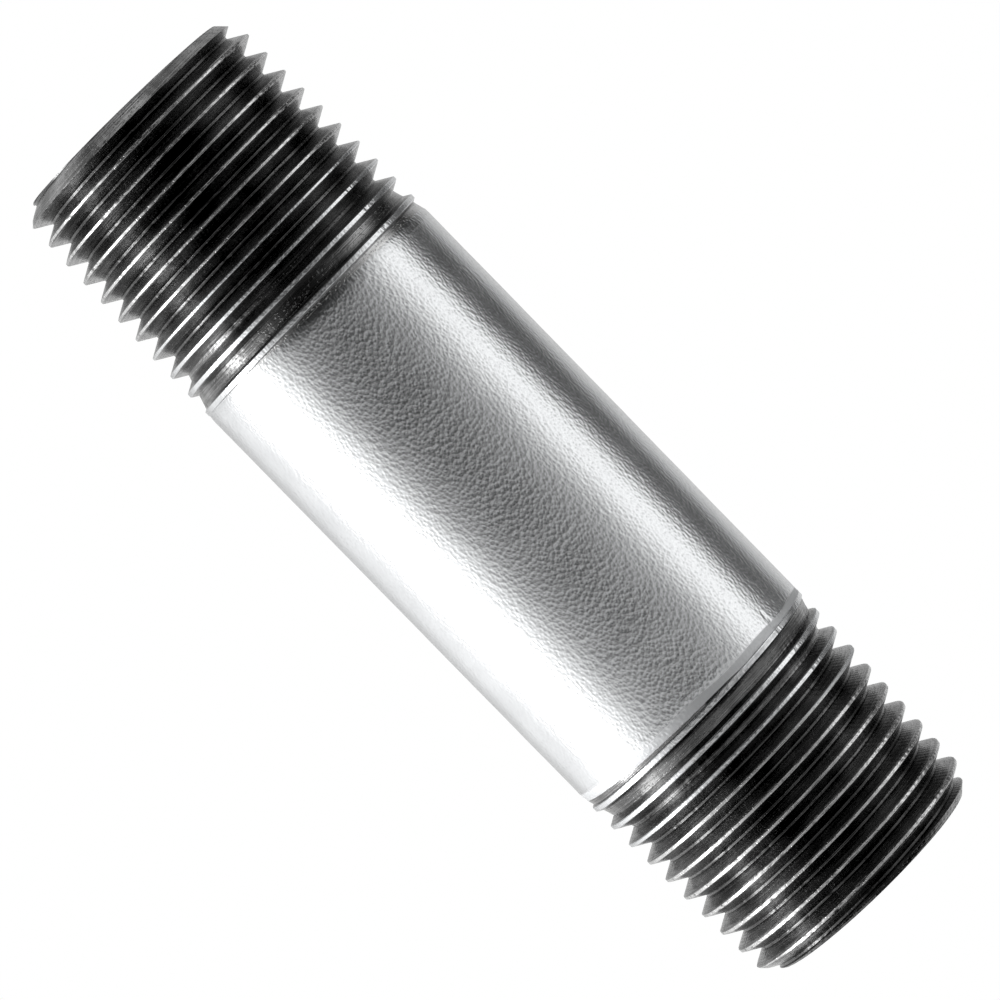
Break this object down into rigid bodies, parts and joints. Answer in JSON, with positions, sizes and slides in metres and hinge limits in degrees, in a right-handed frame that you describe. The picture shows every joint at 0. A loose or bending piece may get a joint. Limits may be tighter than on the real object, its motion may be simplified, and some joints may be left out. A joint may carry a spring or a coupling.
{
  "type": "threaded pipe nipple",
  "caption": "Short galvanised steel pipe with a taper pipe thread on each end, used to join two female threaded fittings.",
  "frame": {"origin": "middle of the bore, half way between the two end faces", "axes": "+Z along the bore's axis to the end called upper; the long weld lies towards +Y"},
  "size_m": [0.0214, 0.0214, 0.0762],
  "materials": {
    "threaded_steel": "bare low-carbon pipe steel, die-cut threads darkened by cutting oil",
    "weld_steel": "forge weld of the pipe's long seam, scarfed outside and trimmed inside",
    "galvanised_zinc": "hot-dip galvanised zinc, bright with a fine orange-peel skin",
    "bore_zinc": "hot-dip galvanised zinc inside the bore, duller and drained"
  },
  "bodies": {
    "root": {"pipe_wall": "threaded_steel", "weld_seam": "weld_steel", "zinc_coat": "galvanised_zinc", "zinc_lining": "bore_zinc"}
  },
  "joints": []
}
